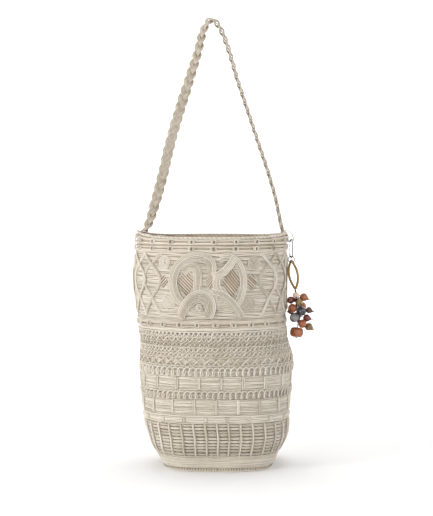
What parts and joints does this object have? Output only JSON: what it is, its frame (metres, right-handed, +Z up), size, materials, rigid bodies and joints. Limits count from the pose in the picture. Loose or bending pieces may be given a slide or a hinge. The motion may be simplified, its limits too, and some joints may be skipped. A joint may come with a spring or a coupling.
{
  "type": "straw bucket bag",
  "caption": "Open straw bucket bag with worked bands of weave, net and cord scrollwork, a braided shoulder strap and a hanging bead charm.",
  "frame": {"origin": "centre of the flat underside of the base", "axes": "+Z up to the strap, -Y the front, +X the side where the charm hangs"},
  "size_m": [0.2601, 0.1978, 0.6456],
  "materials": {
    "straw_cord": "matt twisted straw cord, off-white",
    "gunmetal": "dark plated steel wire, satin",
    "tan_leather": "round leather cord, satin",
    "waxed_string": "dark waxed string",
    "cream_bead": "polished speckled stone",
    "rust_bead": "polished orange-brown stone",
    "garnet_bead": "polished dark red-brown stone",
    "olive_bead": "polished seed, olive-brown",
    "black_bead": "glossy black stone",
    "brown_bead": "polished dark wood",
    "grey_bead": "polished grey stone"
  },
  "bodies": {
    "bag": {"base": "straw_cord", "foot_band": "straw_cord", "ladder_band": "straw_cord", "lower_block_band": "straw_cord", "lower_braid": "straw_cord", "upper_block_band": "straw_cord", "upper_braid": "straw_cord", "net_band": "straw_cord", "lower_knot_band": "straw_cord", "medallion_band": "straw_cord", "upper_knot_band": "straw_cord", "rim": "straw_cord", "strap": "straw_cord", "charm_loop": "straw_cord"},
    "clip": {"clip_frame": "gunmetal"},
    "gate": {"clip_gate": "gunmetal"},
    "drop": {"clip_ring": "gunmetal", "charm_cord": "tan_leather", "bead_strings": "waxed_string", "cream": "cream_bead", "chestnut": "rust_bead", "garnet": "garnet_bead", "olive": "olive_bead", "carnelian": "rust_bead", "onyx": "black_bead", "umber": "brown_bead", "wine": "garnet_bead", "slate": "grey_bead", "russet": "garnet_bead", "amber": "rust_bead", "khaki": "olive_bead", "pumpkin": "rust_bead", "walnut": "brown_bead", "copper": "rust_bead", "cocoa": "brown_bead"}
  },
  "joints": [
    {"name": "charm_swing", "type": "hinge", "parent": "bag", "child": "clip", "pos_m": [0.10581, -0.01306, 0.3256], "axis": [-0.5948, -0.8039, 0], "range_deg": [0, 55]},
    {"name": "gate_hinge", "type": "hinge", "parent": "clip", "child": "gate", "pos_m": [0.10361, -0.01603, 0.3078], "axis": [-0.8039, 0.5948, 0], "range_deg": [0, 25], "stiffness_Nm_per_rad": 0.01},
    {"name": "drop_swing", "type": "hinge", "parent": "clip", "child": "drop", "pos_m": [0.10581, -0.01306, 0.3015], "axis": [0.9936, -0.1132, 0], "range_deg": [-30, 30]}
  ]
}
